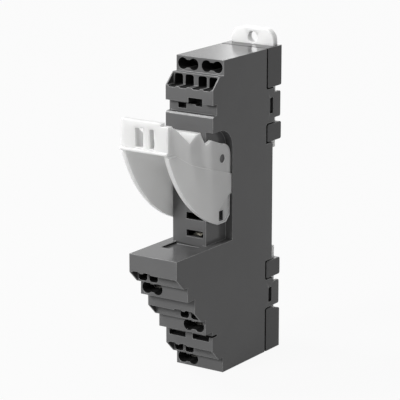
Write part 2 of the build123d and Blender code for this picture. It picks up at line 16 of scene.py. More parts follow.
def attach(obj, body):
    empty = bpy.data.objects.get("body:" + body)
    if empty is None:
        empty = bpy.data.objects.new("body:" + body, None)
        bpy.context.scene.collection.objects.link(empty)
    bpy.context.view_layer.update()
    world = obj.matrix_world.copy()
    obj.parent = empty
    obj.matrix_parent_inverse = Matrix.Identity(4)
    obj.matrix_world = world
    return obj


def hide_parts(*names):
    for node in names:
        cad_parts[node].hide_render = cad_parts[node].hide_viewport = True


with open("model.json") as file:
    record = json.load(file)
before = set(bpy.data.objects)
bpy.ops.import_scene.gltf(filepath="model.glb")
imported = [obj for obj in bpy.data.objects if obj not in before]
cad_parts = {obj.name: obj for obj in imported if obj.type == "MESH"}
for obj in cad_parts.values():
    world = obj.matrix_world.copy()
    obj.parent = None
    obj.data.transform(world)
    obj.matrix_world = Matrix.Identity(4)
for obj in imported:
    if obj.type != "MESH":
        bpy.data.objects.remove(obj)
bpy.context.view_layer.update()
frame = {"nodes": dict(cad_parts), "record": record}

MM = 0.001
EDGE_LAYER = "moulded_edge"
CAVITY_LAYER = "cavity"
WEIGHT_LAYER = "bevel_weight_edge"
FLAT_FACES = 0
ROUNDED_FACES = 1
GOLDEN_ANGLE = math.pi * (3.0 - math.sqrt(5.0))
WHITE = (1.0, 1.0, 1.0)
Colour = tuple[float, float, float]
log = logging.getLogger("rail_socket")


class Body(Enum):
    """The frame's bodies."""

    SOCKET = "socket"
    LEVER = "lever"
    UPPER_HOOK = "upper_hook"
    LOWER_HOOK = "lower_hook"


class Slot(Enum):
    """The record's material slots."""

    HOUSING = "housing"
    RAIL_BASE = "rail_base"
    LEVER = "lever"
    HOOK = "hook"
    CONTACT_BAR = "contact_bar"
    BLADE_CLIP = "blade_clip"
    CLAMP_SPRING = "clamp_spring"


def add_node(tree: bpy.types.NodeTree, kind: str, **settings: object) -> bpy.types.Node:
    """Adds a node to a tree.

    Args:
        tree: The node tree.
        kind: The node's type name.
        settings: Properties to set on the node.

    Returns:
        The new node.
    """
    node = tree.nodes.new(kind)
    for name, value in settings.items():
        setattr(node, name, value)
    return node


def place_group(
    tree: bpy.types.NodeTree, group: bpy.types.NodeTree, **values: float,
) -> bpy.types.Node:
    """Places a shared node group in a material.

    Args:
        tree: The material's node tree.
        group: The group's tree.
        values: The material's own values for the group's inputs.

    Returns:
        The new group node.
    """
    node = add_node(tree, "ShaderNodeGroup", node_tree=group)
    for name, value in values.items():
        node.inputs[name].default_value = value
    return node


def socket_colour(colour: Colour, factor: float = 1.0) -> tuple[float, float, float, float]:
    """Gives a colour times a factor as the four values of a socket."""
    return (*(value * factor for value in colour), 1.0)


class EffectGroup:
    """A shader node group that several materials place with their own values."""

    def __init__(self, name: str, inputs: dict[str, float], outputs: tuple[str, ...]) -> None:
        """Makes the group's sockets.

        Args:
            name: The group's name.
            inputs: Each input socket with its default value.
            outputs: The names of the output sockets.
        """
        self.tree = bpy.data.node_groups.new(name, "ShaderNodeTree")
        for label, value in inputs.items():
            socket = self.tree.interface.new_socket(
                name=label, in_out="INPUT", socket_type="NodeSocketFloat")
            socket.default_value = value
        for label in outputs:
            self.tree.interface.new_socket(
                name=label, in_out="OUTPUT", socket_type="NodeSocketFloat")
        self.entry = self.tree.nodes.new("NodeGroupInput")
        self.exit = self.tree.nodes.new("NodeGroupOutput")

    def node(self, kind: str, **settings: object) -> bpy.types.Node:
        """Adds a node to the group and sets its properties."""
        return add_node(self.tree, kind, **settings)

    def noise(self, detail: float) -> bpy.types.Node:
        """Adds a noise of a given detail to the group.

        Args:
            detail: The number of finer layers in the noise.

        Returns:
            The new noise node.
        """
        noise = self.node("ShaderNodeTexNoise")
        noise.inputs["Detail"].default_value = detail
        return noise

    def link(self, source: bpy.types.NodeSocket, target: bpy.types.NodeSocket) -> None:
        """Links two sockets inside the group."""
        self.tree.links.new(source, target)


@dataclass(frozen=True)
class EdgeWearAndHighlight:
    """The mask of rubbed edges with a painted highlight on them, lighter in patches that come and
    go.

    Attributes:
        scale: How fine the patches are.
        amount: The strength of the rubbed edges and their painted highlight, unless a material
            gives its own.
        detail: The finer layers in the patches.
        patch_from: The noise at which a patch begins.
        patch_to: The noise at which a patch is full.
        least: What is left between the patches, as a share of the full strength.
    """

    scale: float = 900.0
    amount: float = 0.5
    detail: float = 3.0
    patch_from: float = 0.3
    patch_to: float = 0.6
    least: float = 0.45

    def tree(self) -> bpy.types.NodeTree:
        """Builds the group.

        Returns:
            The group's tree, with the inputs Scale and Amount and the output Mask.
        """
        # The mask lightens each rounded edge: partly rubbed plastic, partly a painted highlight
        # where a lamp would catch the rounding.
        group = EffectGroup("edge wear", {"Scale": self.scale, "Amount": self.amount}, ("Mask",))
        edge = group.node("ShaderNodeAttribute", attribute_name=EDGE_LAYER)
        place = group.node("ShaderNodeTexCoord")
        noise = group.noise(self.detail)
        group.link(place.outputs["Object"], noise.inputs["Vector"])
        group.link(group.entry.outputs["Scale"], noise.inputs["Scale"])
        patches = group.node("ShaderNodeMapRange")
        patches.inputs["From Min"].default_value = self.patch_from
        patches.inputs["From Max"].default_value = self.patch_to
        patches.inputs["To Min"].default_value = self.least
        group.link(noise.outputs["Fac"], patches.inputs["Value"])
        strength = group.node("ShaderNodeMath", operation="MULTIPLY")
        group.link(edge.outputs["Fac"], strength.inputs[0])
        group.link(patches.outputs["Result"], strength.inputs[1])
        amount = group.node("ShaderNodeMath", operation="MULTIPLY", use_clamp=True)
        group.link(strength.outputs["Value"], amount.inputs[0])
        group.link(group.entry.outputs["Amount"], amount.inputs[1])
        group.link(amount.outputs["Value"], group.exit.inputs["Mask"])
        return group.tree


@dataclass(frozen=True)
class PaintedCavityShade:
    """The mask of painted shade on the surfaces deep inside openings, which darkens them as if
    shadowed.

    Attributes:
        open_share: The enclosure up to which a surface counts as open.
        closed_share: The enclosure from which it counts as deep inside.
    """

    open_share: float = 0.55
    closed_share: float = 0.85

    def tree(self) -> bpy.types.NodeTree:
        """Builds the group.

        Returns:
            The group's tree, with the inputs From and To and the output Mask.
        """
        group = EffectGroup(
            "painted cavity shade", {"From": self.open_share, "To": self.closed_share}, ("Mask",))
        cavity = group.node("ShaderNodeAttribute", attribute_name=CAVITY_LAYER)
        ramp = group.node("ShaderNodeMapRange", interpolation_type="SMOOTHSTEP")
        group.link(cavity.outputs["Fac"], ramp.inputs["Value"])
        group.link(group.entry.outputs["From"], ramp.inputs["From Min"])
        group.link(group.entry.outputs["To"], ramp.inputs["From Max"])
        group.link(ramp.outputs["Result"], group.exit.inputs["Mask"])
        return group.tree


@dataclass(frozen=True)
class RollingLines:
    """The fine lines that rolling leaves along sheet metal."""

    scale: float = 9000.0
    detail: float = 4.0
    stretch: tuple[float, float, float] = (1.0, 1.0, 0.04)

    def tree(self) -> bpy.types.NodeTree:
        """Builds the group.

        Returns:
            The group's tree, with the input Scale and the output Line.
        """
        group = EffectGroup("rolling lines", {"Scale": self.scale}, ("Line",))
        place = group.node("ShaderNodeTexCoord")
        mapping = group.node("ShaderNodeMapping")
        mapping.inputs["Scale"].default_value = self.stretch
        noise = group.noise(self.detail)
        group.link(place.outputs["Object"], mapping.inputs["Vector"])
        group.link(mapping.outputs["Vector"], noise.inputs["Vector"])
        group.link(group.entry.outputs["Scale"], noise.inputs["Scale"])
        group.link(noise.outputs["Fac"], group.exit.inputs["Line"])
        return group.tree


@dataclass(frozen=True)
class SparkGrain:
    """The fine grain of a spark-eroded mould, with the broad tone changes of the plastic.

    Attributes:
        scale: How fine the grain is.
        variation: How far the tone leaves its middle.
        fine_detail: The finer layers in the grain.
        fine_roughness: The weight of those layers.
        broad_scale: How fine the tone changes are.
        broad_detail: The finer layers in the tone changes.
        middle: The tone of the plain colour.
    """

    scale: float = 5000.0
    variation: float = 0.08
    fine_detail: float = 2.0
    fine_roughness: float = 0.6
    broad_scale: float = 60.0
    broad_detail: float = 4.0
    middle: float = 0.5

    def tree(self) -> bpy.types.NodeTree:
        """Builds the group.

        Returns:
            The group's tree, with the inputs Scale and Variation and the outputs Height and Tone.
        """
        group = EffectGroup(
            "spark grain", {"Scale": self.scale, "Variation": self.variation},
            ("Height", "Tone"))
        place = group.node("ShaderNodeTexCoord")
        fine = group.noise(self.fine_detail)
        fine.inputs["Roughness"].default_value = self.fine_roughness
        broad = group.noise(self.broad_detail)
        broad.inputs["Scale"].default_value = self.broad_scale
        group.link(place.outputs["Object"], fine.inputs["Vector"])
        group.link(group.entry.outputs["Scale"], fine.inputs["Scale"])
        group.link(place.outputs["Object"], broad.inputs["Vector"])
        centred = group.node("ShaderNodeMath", operation="SUBTRACT")
        centred.inputs[1].default_value = self.middle
        group.link(broad.outputs["Fac"], centred.inputs[0])
        tone = group.node("ShaderNodeMath", operation="MULTIPLY_ADD")
        tone.inputs[2].default_value = self.middle
        group.link(centred.outputs["Value"], tone.inputs[0])
        group.link(group.entry.outputs["Variation"], tone.inputs[1])
        group.link(fine.outputs["Fac"], group.exit.inputs["Height"])
        group.link(tone.outputs["Value"], group.exit.inputs["Tone"])
        return group.tree


class Effects:
    """The node groups and the materials that the pieces share."""

    def __init__(self) -> None:
        """Builds each group once."""
        self.edge_wear_and_highlight = EdgeWearAndHighlight().tree()
        self.painted_cavity_shade = PaintedCavityShade().tree()
        self.grain = SparkGrain().tree()
        self.rolling = RollingLines().tree()
        self.materials: dict[str, bpy.types.Material] = {}


@dataclass(frozen=True)
class Finish:
    """A surface finish with its own tone variation and surface relief.

    Attributes:
        name: The material's name.
        colour: The plain colour.
        edge_colour: The colour of rubbed edges, light enough to paint a highlight along them.
        roughness: The middle roughness.
        ior: The index of refraction, which sets how much the surface shines.
        metallic: One for metal and zero for plastic.
        wear_and_highlight: The strength of the rubbed edges and of the painted highlight on them.
        deep_shade: What is left of the colour deep inside openings, where painted shade darkens
            it.
        deep_roughness: The roughness there.
        deep_from: The enclosure at which the painted shade of an opening begins.
        deep_to: The enclosure at which it is full.
        relief_scale: How fine the relief is.
        relief_strength: How strongly the relief shows.
        relief_height: The height of the relief.
        variation: How far the tone leaves its middle.
        tone_spread: The share of the colour between its middle and its full tones.
        roughness_spread: The same share for the roughness.
        subsurface: How much of the light is scattered inside.
        subsurface_reach: How far it is scattered, the same for every colour.
    """

    name: str
    colour: Colour
    edge_colour: Colour
    roughness: float = 0.2
    ior: float = 1.25
    metallic: float = 0.0
    wear_and_highlight: float = 0.5
    deep_shade: float = 0.12
    deep_roughness: float = 0.9
    deep_from: float = 0.42
    deep_to: float = 0.68
    relief_scale: float = 5000.0
    relief_strength: float = 0.05
    relief_height: float = 0.05 * MM
    variation: float = 0.3
    tone_spread: float = 0.3
    roughness_spread: float = 0.2
    subsurface: float = 0.0
    subsurface_reach: float = 2.5 * MM

    def material(self, effects: Effects) -> bpy.types.Material:
        """Gives the finish's material and builds it at the first call.

        Args:
            effects: The shared node groups and materials.

        Returns:
            The material.
        """
        if self.name not in effects.materials:
            effects.materials[self.name] = self.new_material(effects)
        return effects.materials[self.name]

    def new_material(self, effects: Effects) -> bpy.types.Material:
        """Builds the material.

        Args:
            effects: The shared node groups.

        Returns:
            The new material.
        """
        material = bpy.data.materials.new(self.name)
        material.use_nodes = True
        tree = material.node_tree
        shader = tree.nodes["Principled BSDF"]
        shader.inputs["IOR"].default_value = self.ior
        shader.inputs["Metallic"].default_value = self.metallic
        shader.inputs["Subsurface Weight"].default_value = self.subsurface
        shader.inputs["Subsurface Radius"].default_value = WHITE
        shader.inputs["Subsurface Scale"].default_value = self.subsurface_reach
        grain = place_group(
            tree, effects.grain, Scale=self.relief_scale, Variation=self.variation)
        # The mask of painted shade deep inside openings, for the colour and the roughness.
        deep = place_group(tree, effects.painted_cavity_shade, From=self.deep_from, To=self.deep_to)
        self.colour_nodes(tree, effects, grain, deep, shader)
        self.roughness_nodes(tree, grain, deep, shader)
        bump = add_node(tree, "ShaderNodeBump")
        bump.inputs["Strength"].default_value = self.relief_strength
        bump.inputs["Distance"].default_value = self.relief_height
        tree.links.new(self.relief(tree, effects, grain), bump.inputs["Height"])
        tree.links.new(bump.outputs["Normal"], shader.inputs["Normal"])
        return material

    def relief(
        self, tree: bpy.types.NodeTree, effects: Effects, grain: bpy.types.Node,
    ) -> bpy.types.NodeSocket:
        """Gives the height of the moulded grain."""
        return grain.outputs["Height"]

    def colour_nodes(
        self, tree: bpy.types.NodeTree, effects: Effects,
        grain: bpy.types.Node, deep: bpy.types.Node, shader: bpy.types.Node,
    ) -> None:
        """Mixes the colour with its tone variation, rubbed edges with a painted highlight, and
        painted shade in the openings.

        Args:
            tree: The material's node tree.
            effects: The shared node groups.
            grain: The placed grain group.
            deep: The placed group of the deep openings.
            shader: The material's shader.
        """
        tint = add_node(tree, "ShaderNodeMix", data_type="RGBA")
        tint.inputs["A"].default_value = socket_colour(self.colour, 1.0 - self.tone_spread)
        tint.inputs["B"].default_value = socket_colour(self.colour, 1.0 + self.tone_spread)
        tree.links.new(grain.outputs["Tone"], tint.inputs["Factor"])
        # Rubbed edges, lightened further as a painted highlight.
        wear_and_highlight = place_group(tree, effects.edge_wear_and_highlight, Amount=self.wear_and_highlight)
        worn_and_highlit = add_node(tree, "ShaderNodeMix", data_type="RGBA")
        worn_and_highlit.inputs["B"].default_value = socket_colour(self.edge_colour)
        tree.links.new(tint.outputs["Result"], worn_and_highlit.inputs["A"])
        tree.links.new(wear_and_highlight.outputs["Mask"], worn_and_highlit.inputs["Factor"])
        # Painted shade: the colour goes dark deep inside openings, where shadow falls.
        shaded = add_node(tree, "ShaderNodeMix", data_type="RGBA")
        shaded.inputs["B"].default_value = socket_colour(self.colour, self.deep_shade)
        tree.links.new(worn_and_highlit.outputs["Result"], shaded.inputs["A"])
        tree.links.new(deep.outputs["Mask"], shaded.inputs["Factor"])
        tree.links.new(shaded.outputs["Result"], shader.inputs["Base Color"])

    def roughness_nodes(
        self, tree: bpy.types.NodeTree, grain: bpy.types.Node,
        deep: bpy.types.Node, shader: bpy.types.Node,
    ) -> None:
        """Lets the roughness follow the tone a little and rise inside the openings.

        Args:
            tree: The material's node tree.
            grain: The placed grain group.
            deep: The placed group of the deep openings.
            shader: The material's shader.
        """
        spread = add_node(tree, "ShaderNodeMapRange")
        spread.inputs["To Min"].default_value = self.roughness * (1.0 - self.roughness_spread)
        spread.inputs["To Max"].default_value = self.roughness * (1.0 + self.roughness_spread)
        tree.links.new(grain.outputs["Tone"], spread.inputs["Value"])
        dulled = add_node(tree, "ShaderNodeMix")
        dulled.inputs["B"].default_value = self.deep_roughness
        tree.links.new(spread.outputs["Result"], dulled.inputs["A"])
        tree.links.new(deep.outputs["Mask"], dulled.inputs["Factor"])
        tree.links.new(dulled.outputs["Result"], shader.inputs["Roughness"])


@dataclass(frozen=True)
class RolledFinish(Finish):
    """A metal finish whose relief is the lines of rolled sheet."""

    metallic: float = 1.0

    def relief(
        self, tree: bpy.types.NodeTree, effects: Effects, grain: bpy.types.Node,
    ) -> bpy.types.NodeSocket:
        """Gives the height of the rolling lines.

        Args:
            tree: The material's node tree.
            effects: The shared node groups.
            grain: The placed grain group, not used here, as metal takes only its tone.

        Returns:
            The socket of the height.
        """
        rolling = place_group(tree, effects.rolling, Scale=self.relief_scale)
        return rolling.outputs["Line"]


# The lighter edge colours stand partly for rubbed plastic and partly for a painted highlight on
# the rounded edges. deep_shade, deep_from and deep_to set the painted shade in the openings; the
# lever's low thresholds paint its heel slot dark.
CHARCOAL_PLASTIC = Finish(
    "charcoal plastic", (0.125, 0.125, 0.126), (0.4, 0.4, 0.4), roughness=0.16)
BASE_PLASTIC = Finish(
    "base plastic", (0.08, 0.08, 0.081), (0.3, 0.3, 0.3), wear_and_highlight=0.4, deep_from=0.3, deep_to=0.6)
LEVER_PLASTIC = Finish(
    "milky lever plastic", (0.72, 0.72, 0.715), WHITE, roughness=0.3, ior=1.4, wear_and_highlight=1.0,
    deep_from=0.25, deep_to=0.5, variation=0.05, subsurface=1.0, subsurface_reach=3.5 * MM)
HOOK_PLASTIC = Finish(
    "white hook plastic", (0.85, 0.85, 0.845), (0.95, 0.95, 0.95), roughness=0.35, ior=1.4,
    deep_shade=0.5, variation=0.05, subsurface=1.0)
TINNED_COPPER = RolledFinish(
    "tinned copper", (0.5, 0.49, 0.46), (0.6, 0.58, 0.55), roughness=0.35)
SPRING_STEEL = RolledFinish("spring steel", (0.6, 0.6, 0.6), (0.75, 0.75, 0.75))


@dataclass(frozen=True)
class EdgeRounding:
    """Rounds the sharp edges of a solid's mesh and keeps its flat regions whole.

    Attributes:
        radius: The full radius of an edge.
        segments: The faces across a rounding.
        flat_angle: The angle below which two faces lie in one plane.
        sharp_angle: The angle above which an edge is rounded.
        weld: The distance at which points are merged.
        finest: The length below which a crossing edge is collapsed.
        easing: What is left of a rounding where there is no room for it.
        easing_passes: How often the roundings may be eased.
        easing_reach: How far from a crossing they are eased.
        area_slack: The share by which a new filling may miss its region's area.
        stray: How far a point of a rounding may lie off the solid.
        plain_corners: The corners up to which a single face stays as it is.
    """

    radius: float = 0.1 * MM
    segments: int = 2
    flat_angle: float = math.radians(1.0)
    sharp_angle: float = math.radians(28.0)
    weld: float = 0.001 * MM
    finest: float = 0.25 * MM
    easing: float = 0.5
    easing_passes: int = 6
    easing_reach: float = 0.5 * MM
    area_slack: float = 0.002
    stray: float = 0.15 * MM
    plain_corners: int = 4

    def merged(self, solid: bpy.types.Mesh) -> bmesh.types.BMesh:
        """Copies a solid's mesh, merges it and joins its flat faces.

        Args:
            solid: The mesh of the solid, which stays as it is.

        Returns:
            The merged mesh.
        """
        mesh = bmesh.new()
        mesh.from_mesh(solid)
        bmesh.ops.remove_doubles(mesh, verts=mesh.verts, dist=self.weld)
        bmesh.ops.dissolve_limit(
            mesh, angle_limit=self.flat_angle, verts=mesh.verts, edges=mesh.edges,
            delimit={"NORMAL"})
        return mesh

    def rounded(self, mesh: bmesh.types.BMesh, piece: bpy.types.Object) -> bmesh.types.BMesh:
        """Rounds the edges, with smaller roundings where there is no room for the full ones.

        Args:
            mesh: The merged mesh.
            piece: The object that holds the mesh for the modifier.

        Returns:
            The rounded mesh with its flat regions filled anew.
        """
        self.weigh_edges(mesh)
        result = self.rounded_once(mesh, piece)
        for _ in range(self.easing_passes):
            crossed = self.crossings(result)
            if not crossed:
                break
            spots = [(edge.verts[0].co + edge.verts[1].co) / 2 for edge in crossed]
            self.ease(mesh, spots)
            result.free()
            result = self.rounded_once(mesh, piece)
        for _ in range(self.easing_passes):
            fine = [edge for edge in self.crossings(result) if edge.calc_length() < self.finest]
            bmesh.ops.collapse(result, edges=fine, uvs=False)
            bmesh.ops.dissolve_degenerate(result, edges=result.edges, dist=self.weld)
            result.normal_update()
        self.refill_flats(result)
        return result

    def weigh_edges(self, mesh: bmesh.types.BMesh) -> None:
        """Marks each sharp edge for the full rounding.

        Args:
            mesh: The merged mesh.
        """
        weight = mesh.edges.layers.float.new(WEIGHT_LAYER)
        for edge in mesh.edges:
            if edge.is_manifold and edge.calc_face_angle() > self.sharp_angle:
                edge[weight] = 1.0

    def rounded_once(self, mesh: bmesh.types.BMesh, piece: bpy.types.Object) -> bmesh.types.BMesh:
        """Rounds the weighted edges by the Bevel modifier.

        Args:
            mesh: The merged mesh with its weights.
            piece: The object that holds the mesh for the modifier.

        Returns:
            The rounded mesh, whose roundings have the second material.
        """
        mesh.to_mesh(piece.data)
        modifier = piece.modifiers.new("rounded edges", "BEVEL")
        modifier.limit_method = "WEIGHT"
        modifier.width = self.radius
        modifier.segments = self.segments
        modifier.profile = 0.5
        modifier.use_clamp_overlap = False
        modifier.loop_slide = False
        modifier.material = ROUNDED_FACES
        evaluated = piece.evaluated_get(bpy.context.evaluated_depsgraph_get())
        result = bmesh.new()
        result.from_mesh(evaluated.to_mesh())
        evaluated.to_mesh_clear()
        piece.modifiers.clear()
        self.hold_to_solid(result, BVHTree.FromBMesh(mesh))
        result.normal_update()
        return result

    def hold_to_solid(self, mesh: bmesh.types.BMesh, solid: BVHTree) -> None:
        """Pulls points that the rounding threw off the solid back onto it.

        Args:
            mesh: The rounded mesh.
            solid: The faces of the solid.
        """
        for vert in mesh.verts:
            nearest, _, _, distance = solid.find_nearest(vert.co)
            if distance > self.stray:
                vert.co = nearest

    def ease(self, mesh: bmesh.types.BMesh, spots: list[Vector]) -> None:
        """Makes the roundings near some spots smaller.

        Args:
            mesh: The merged mesh with its weights.
            spots: The places that have no room.
        """
        weight = mesh.edges.layers.float[WEIGHT_LAYER]
        mesh.verts.ensure_lookup_table()
        corners = KDTree(len(mesh.verts))
        for vert in mesh.verts:
            corners.insert(vert.co, vert.index)
        corners.balance()
        near = {
            index for spot in spots
            for _, index, _ in corners.find_range(spot, self.easing_reach)
        }
        for edge in {edge for index in near for edge in mesh.verts[index].link_edges}:
            edge[weight] *= self.easing

    def crossings(self, mesh: bmesh.types.BMesh) -> list[bmesh.types.BMEdge]:
        """Finds where the outline of a flat region crosses itself.

        Args:
            mesh: The rounded mesh.

        Returns:
            The shorter edge of each crossing, each edge once.
        """
        crossed = []
        for region in self.flat_regions(mesh):
            turn = self.facing(region).to_track_quat("Z", "Y").inverted()
            runs = [
                (edge, *((turn @ vert.co).to_2d() / MM for vert in edge.verts))
                for edge in self.outline(region)
            ]
            for index, (edge, start, end) in enumerate(runs):
                for other, other_start, other_end in runs[index + 1:]:
                    if edge.verts[0] in other.verts or edge.verts[1] in other.verts:
                        continue
                    if intersect_line_line_2d(start, end, other_start, other_end):
                        crossed.append(min((edge, other), key=bmesh.types.BMEdge.calc_length))
        return list(dict.fromkeys(crossed))

    def flat_regions(self, mesh: bmesh.types.BMesh) -> list[list[bmesh.types.BMFace]]:
        """Groups the faces between the roundings that lie in one plane and touch.

        Args:
            mesh: The rounded mesh, whose roundings have the second material.

        Returns:
            The faces of each flat region.
        """
        regions = []
        left = {face for face in mesh.faces if face.material_index == FLAT_FACES}
        for face in mesh.faces:
            if face not in left:
                continue
            left.remove(face)
            region, open_faces = [face], [face]
            while open_faces:
                for edge in open_faces.pop().edges:
                    for other in edge.link_faces:
                        if other in left and self.in_plane(other, face):
                            left.remove(other)
                            region.append(other)
                            open_faces.append(other)
            regions.append(region)
        return regions

    def in_plane(self, face: bmesh.types.BMFace, other: bmesh.types.BMFace) -> bool:
        """Tells whether two faces lie in one plane, which a face without area never does."""
        return face.normal.angle(other.normal, math.pi) < self.flat_angle

    def facing(self, region: list[bmesh.types.BMFace]) -> Vector:
        """Gives the direction of a flat region, as long as its area."""
        return sum((face.normal * face.calc_area() for face in region), Vector())

    def outline(self, region: list[bmesh.types.BMFace]) -> list[bmesh.types.BMEdge]:
        """Finds the edges around a flat region.

        Args:
            region: The faces of the region.

        Returns:
            The edges that also belong to a face outside the region.
        """
        inside = set(region)
        edges = dict.fromkeys(edge for face in region for edge in face.edges)
        return [edge for edge in edges if not inside.issuperset(edge.link_faces)]

    def refill_flats(self, mesh: bmesh.types.BMesh) -> None:
        """Fills each flat region anew from its outline, so that no face crosses itself.

        Args:
            mesh: The rounded mesh, whose roundings have the second material.
        """
        for region in self.flat_regions(mesh):
            if len(region) == 1 and len(region[0].verts) <= self.plain_corners:
                continue
            facing = self.facing(region)
            filled = bmesh.ops.triangle_fill(
                mesh, use_beauty=True, use_dissolve=False, edges=self.outline(region),
                normal=facing)
            faces = [face for face in filled["geom"] if isinstance(face, bmesh.types.BMFace)]
            area = sum(face.calc_area() for face in faces)
            if abs(area - facing.length) > self.area_slack * facing.length:
                bmesh.ops.delete(mesh, geom=faces, context="FACES_ONLY")
            else:
                bmesh.ops.delete(mesh, geom=region, context="FACES_ONLY")
                self.turn_faces(faces, facing)
            loose = [edge for edge in mesh.edges if not edge.link_faces]
            bmesh.ops.delete(mesh, geom=loose, context="EDGES")

    def turn_faces(self, faces: list[bmesh.types.BMFace], facing: Vector) -> None:
        """Turns new faces to the side that their region faces.

        Args:
            faces: The new faces.
            facing: The direction of the region.
        """
        for face in faces:
            face.normal_update()
            if face.normal.dot(facing) < 0.0:
                face.normal_flip()


@dataclass(frozen=True)
class DepthProbe:
    """Measures how far a face is closed in by the walls around it.

    Attributes:
        rays: The rays sent out of each face.
        reach: How near a wall has to be.
        lift: How far over the face the rays start.
    """

    rays: int = 24
    reach: float = 8.0 * MM
    lift: float = 0.02 * MM

    def enclosure(self, face: bmesh.types.BMFace, walls: list[BVHTree]) -> float:
        """Sends even rays out of a face and counts those that meet a wall.

        Args:
            face: The face to measure.
            walls: The faces of the piece and of its neighbours.

        Returns:
            The share of the rays that meet a wall within the reach.
        """
        turn = face.normal.to_track_quat("Z", "Y")
        start = face.calc_center_median() + face.normal * self.lift
        hits = 0
        for index in range(self.rays):
            height = math.sqrt((index + 0.5) / self.rays)
            spread = math.sqrt(1.0 - height * height)
            angle = index * GOLDEN_ANGLE
            ray = Vector((spread * math.cos(angle), spread * math.sin(angle), height))
            ray.rotate(turn)
            hits += any(wall.ray_cast(start, ray, self.reach)[0] for wall in walls)
        return hits / self.rays


@dataclass
class MouldedPart:
    """A moulded sub-assembly: a solid of the frame with rounded edges and its finish.

    Attributes:
        node: The frame's node that the piece replaces.
        name: The piece's name.
        body: The body that the piece moves with.
        slot: The record's slot of its material; not used.
        finish: Its surface finish.
        neighbours: The nodes whose walls close in its openings.
        rounding: How its edges are rounded.
        probe: How the depth of its openings is measured.
    """

    node: str
    name: str
    body: Body
    slot: Slot
    finish: Finish
    neighbours: tuple[str, ...] = ()
    rounding: EdgeRounding = EdgeRounding()
    probe: DepthProbe = DepthProbe()

    def build(self, effects: Effects) -> bpy.types.Object:
        """Builds the piece, dresses it and puts it on its body.

        Args:
            effects: The shared node groups and materials.

        Returns:
            The new object.
        """
        piece = bpy.data.objects.new(self.name, bpy.data.meshes.new(self.name))
        bpy.context.scene.collection.objects.link(piece)
        for _ in (FLAT_FACES, ROUNDED_FACES):
            piece.data.materials.append(self.finish.material(effects))
        merged = self.rounding.merged(frame["nodes"][self.node].data)
        rounded = self.rounding.rounded(merged, piece)
        merged.free()
        self.mark_surface(rounded)
        rounded.to_mesh(piece.data)
        rounded.free()
        piece.data.materials.pop()
        shading = piece.modifiers.new("even shading", "WEIGHTED_NORMAL")
        shading.keep_sharp = True
        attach(piece, self.body.value)
        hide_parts(self.node)
        return piece

    def mark_surface(self, mesh: bmesh.types.BMesh) -> None:
        """Stores where the rounded edges and the deep openings are, for the painted highlight and
        the painted shade in the materials.

        Args:
            mesh: The rounded mesh, whose roundings have the second material.
        """
        edge_layer = mesh.faces.layers.float.new(EDGE_LAYER)
        cavity_layer = mesh.faces.layers.float.new(CAVITY_LAYER)
        mesh.normal_update()
        walls = self.walls(mesh)
        for face in mesh.faces:
            face[edge_layer] = float(face.material_index)
            face[cavity_layer] = 0.0 if self.is_thin(face) else self.probe.enclosure(face, walls)
            face.material_index = FLAT_FACES
            face.smooth = True

    def walls(self, mesh: bmesh.types.BMesh) -> list[BVHTree]:
        """Gathers the walls that can close in a face of the piece.

        Args:
            mesh: The rounded mesh.

        Returns:
            The faces of the piece and of each neighbour.
        """
        walls = [BVHTree.FromBMesh(mesh)]
        for node in self.neighbours:
            neighbour = bmesh.new()
            neighbour.from_mesh(frame["nodes"][node].data)
            walls.append(BVHTree.FromBMesh(neighbour))
            neighbour.free()
        return walls

    def is_thin(self, face: bmesh.types.BMFace) -> bool:
        """Tells whether light passes through the walls around a face, which then gets no painted
        shade.
        """
        return False


@dataclass
class Housing(MouldedPart):
    """The stepped body with the wire terminals, the relay bay and the label groove."""

    node: str = "housing"
    name: str = "moulded_housing"
    body: Body = Body.SOCKET
    slot: Slot = Slot.HOUSING
    finish: Finish = CHARCOAL_PLASTIC
    neighbours: tuple[str, ...] = ("rail_base",)
    rounding: EdgeRounding = EdgeRounding(radius=0.12 * MM)


@dataclass
class RailBase(MouldedPart):
    """The rear cover with the rail feet, the latch slots and the hook guides."""

    node: str = "rail_base"
    name: str = "moulded_base"
    body: Body = Body.SOCKET
    slot: Slot = Slot.RAIL_BASE
    finish: Finish = BASE_PLASTIC
    neighbours: tuple[str, ...] = ("housing",)


@dataclass
class ReleaseLever(MouldedPart):
    """The milky lever, whose bar and cheeks are thin in front of its pivot."""

    node: str = "release_lever"
    name: str = "milky_lever"
    body: Body = Body.LEVER
    slot: Slot = Slot.LEVER
    finish: Finish = LEVER_PLASTIC
    thin_before: float = -30.0 * MM

    def is_thin(self, face: bmesh.types.BMFace) -> bool:
        """Tells whether a face lies in the thin front of the lever, which gets no painted shade.
        """
        return face.calc_center_median().y < self.thin_before


@dataclass
class RailHook(MouldedPart):
    """A white slide that grips the rail."""

    slot: Slot = Slot.HOOK
    finish: Finish = HOOK_PLASTIC


@dataclass(frozen=True)
class ClampMetal:
    """The contact bars, blade clips and clamp springs, which keep the frame's own meshes."""

    finishes: tuple[tuple[Slot, Finish], ...] = (
        (Slot.CONTACT_BAR, TINNED_COPPER),
        (Slot.BLADE_CLIP, TINNED_COPPER),
        (Slot.CLAMP_SPRING, SPRING_STEEL),
    )

    def build(self, effects: Effects) -> list[bpy.types.Object]:
        """Dresses every metal node.

        Args:
            effects: The shared node groups and materials.

        Returns:
            The dressed objects.
        """
        dressed = []
        finishes = {slot.value: finish for slot, finish in self.finishes}
        for row in frame["record"]["subparts"]:
            if row["material_slot"] in finishes:
                piece = frame["nodes"][row["node"]]
                piece.data.materials.clear()
                piece.data.materials.append(finishes[row["material_slot"]].material(effects))
                dressed.append(piece)
        return dressed


